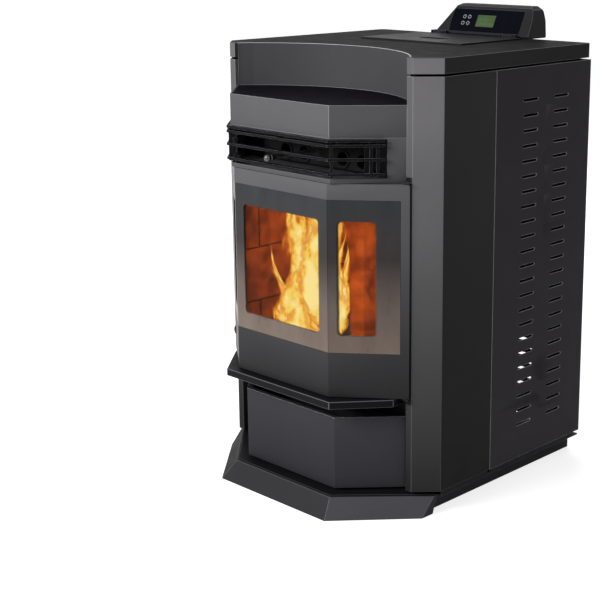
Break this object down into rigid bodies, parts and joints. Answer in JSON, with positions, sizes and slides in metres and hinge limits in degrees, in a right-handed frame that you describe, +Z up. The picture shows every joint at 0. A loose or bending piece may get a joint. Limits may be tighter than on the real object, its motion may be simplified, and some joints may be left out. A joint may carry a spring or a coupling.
{
  "type": "pellet stove",
  "caption": "Free-standing pellet stove with bay-window fire door, ash drawer, hot-air grille, top hopper lid, rear console and inner feed and blowers.",
  "frame": {"origin": "on the floor under the middle of the stove's box, from the skirt's front edge to the flue outlet's end", "axes": "+Z up; the front with the door faces -Y; +X to the right as seen from the front"},
  "size_m": [0.546, 0.635, 0.884],
  "materials": {
    "grey_paint": "satin metallic grey stove paint",
    "dark_paint": "satin charcoal stove paint",
    "black_paint": "matte black stove paint",
    "steel": "bare mill-finish steel",
    "cast_iron": "raw cast iron, heat darkened",
    "refractory": "pressed refractory fibre board with brick joints",
    "glass": "ceramic fire glass with a mirrored border",
    "rope": "woven glass-fibre rope",
    "black_plastic": "moulded black plastic",
    "gloss_panel": "glossy black membrane",
    "display": "green liquid-crystal window",
    "button": "silver-coated plastic"
  },
  "bodies": {
    "root": {"base_plinth": "grey_paint", "base_tray": "black_paint", "side_casing_left": "grey_paint", "side_casing_right": "grey_paint", "louvre_panel_left": "dark_paint", "louvre_panel_right": "dark_paint", "rear_panel": "dark_paint", "top_plate": "dark_paint", "arch_fascia": "grey_paint", "bay_shelf": "black_paint", "bay_fascia": "grey_paint", "grille_surround": "grey_paint", "louvre_grille": "black_paint", "front_frame": "black_paint", "firebox_shell": "dark_paint", "brick_liner_rear": "refractory", "brick_liner_left": "refractory", "brick_liner_right": "refractory", "burn_pot": "cast_iron", "igniter": "steel", "heat_exchanger": "dark_paint", "hopper": "dark_paint", "auger_tube": "steel", "auger_motor": "black_paint", "pellet_chute": "dark_paint", "convection_housing": "dark_paint", "convection_motor": "black_paint", "air_duct": "steel", "exhaust_housing": "cast_iron", "exhaust_motor": "black_paint", "flue_outlet": "steel", "air_intake_pipe": "steel", "power_inlet": "black_plastic", "console_face": "gloss_panel", "display_lens": "display", "console_housing": "black_plastic", "lid_hinge_left": "black_paint", "lid_hinge_right": "black_paint", "hinge_bracket_lower": "black_paint", "hinge_bracket_upper": "black_paint", "ash_lip": "black_paint"},
    "door": {"door_frame": "grey_paint", "glass_centre": "glass", "glass_left": "glass", "glass_right": "glass", "glass_retainer": "black_paint", "door_gasket": "rope"},
    "latch": {"door_latch": "steel"},
    "ash_drawer": {"ash_drawer_front": "grey_paint", "ash_pan": "black_paint"},
    "scraper": {"scraper_plate": "steel", "scraper_rod": "steel"},
    "lid": {"hopper_lid": "dark_paint"},
    "auger": {"auger_screw": "steel"},
    "convection_fan": {"convection_wheel": "steel"},
    "exhaust_fan": {"exhaust_impeller": "steel"},
    "button_a": {"button_1": "button"},
    "button_b": {"button_2": "button"},
    "button_c": {"button_3": "button"},
    "button_d": {"button_4": "button"}
  },
  "joints": [
    {"name": "door_hinge", "type": "hinge", "parent": "root", "child": "door", "pos_m": [0.2295, -0.1952, 0.413], "axis": [0, 0, 1], "range_deg": [0, 110]},
    {"name": "latch_turn", "type": "hinge", "parent": "door", "child": "latch", "pos_m": [-0.205, -0.19, 0.262], "axis": [0, 1, 0], "range_deg": [0, 90]},
    {"name": "ash_drawer_slide", "type": "slide", "parent": "root", "child": "ash_drawer", "axis": [0, -1, 0], "range_m": [0, 0.16]},
    {"name": "scraper_slide", "type": "slide", "parent": "root", "child": "scraper", "axis": [0, -1, 0], "range_m": [0, 0.08]},
    {"name": "lid_hinge", "type": "hinge", "parent": "root", "child": "lid", "pos_m": [0, 0.251, 0.827], "axis": [-1, 0, 0], "range_deg": [0, 80]},
    {"name": "auger_spin", "type": "hinge", "parent": "root", "child": "auger", "pos_m": [0, 0.215, 0.4116], "axis": [0, -0.8477, 0.5305], "continuous": true},
    {"name": "convection_spin", "type": "hinge", "parent": "root", "child": "convection_fan", "pos_m": [0.074, 0.086, 0.15], "axis": [1, 0, 0], "continuous": true},
    {"name": "exhaust_spin", "type": "hinge", "parent": "root", "child": "exhaust_fan", "pos_m": [-0.103, 0.086, 0.15], "axis": [1, 0, 0], "continuous": true},
    {"name": "button_a_press", "type": "slide", "parent": "root", "child": "button_a", "axis": [0, 0.8944, -0.4472], "range_m": [0, 0.001], "stiffness_N_per_m": 400},
    {"name": "button_b_press", "type": "slide", "parent": "root", "child": "button_b", "axis": [0, 0.8944, -0.4472], "range_m": [0, 0.001], "stiffness_N_per_m": 400},
    {"name": "button_c_press", "type": "slide", "parent": "root", "child": "button_c", "axis": [0, 0.8944, -0.4472], "range_m": [0, 0.001], "stiffness_N_per_m": 400},
    {"name": "button_d_press", "type": "slide", "parent": "root", "child": "button_d", "axis": [0, 0.8944, -0.4472], "range_m": [0, 0.001], "stiffness_N_per_m": 400}
  ]
}
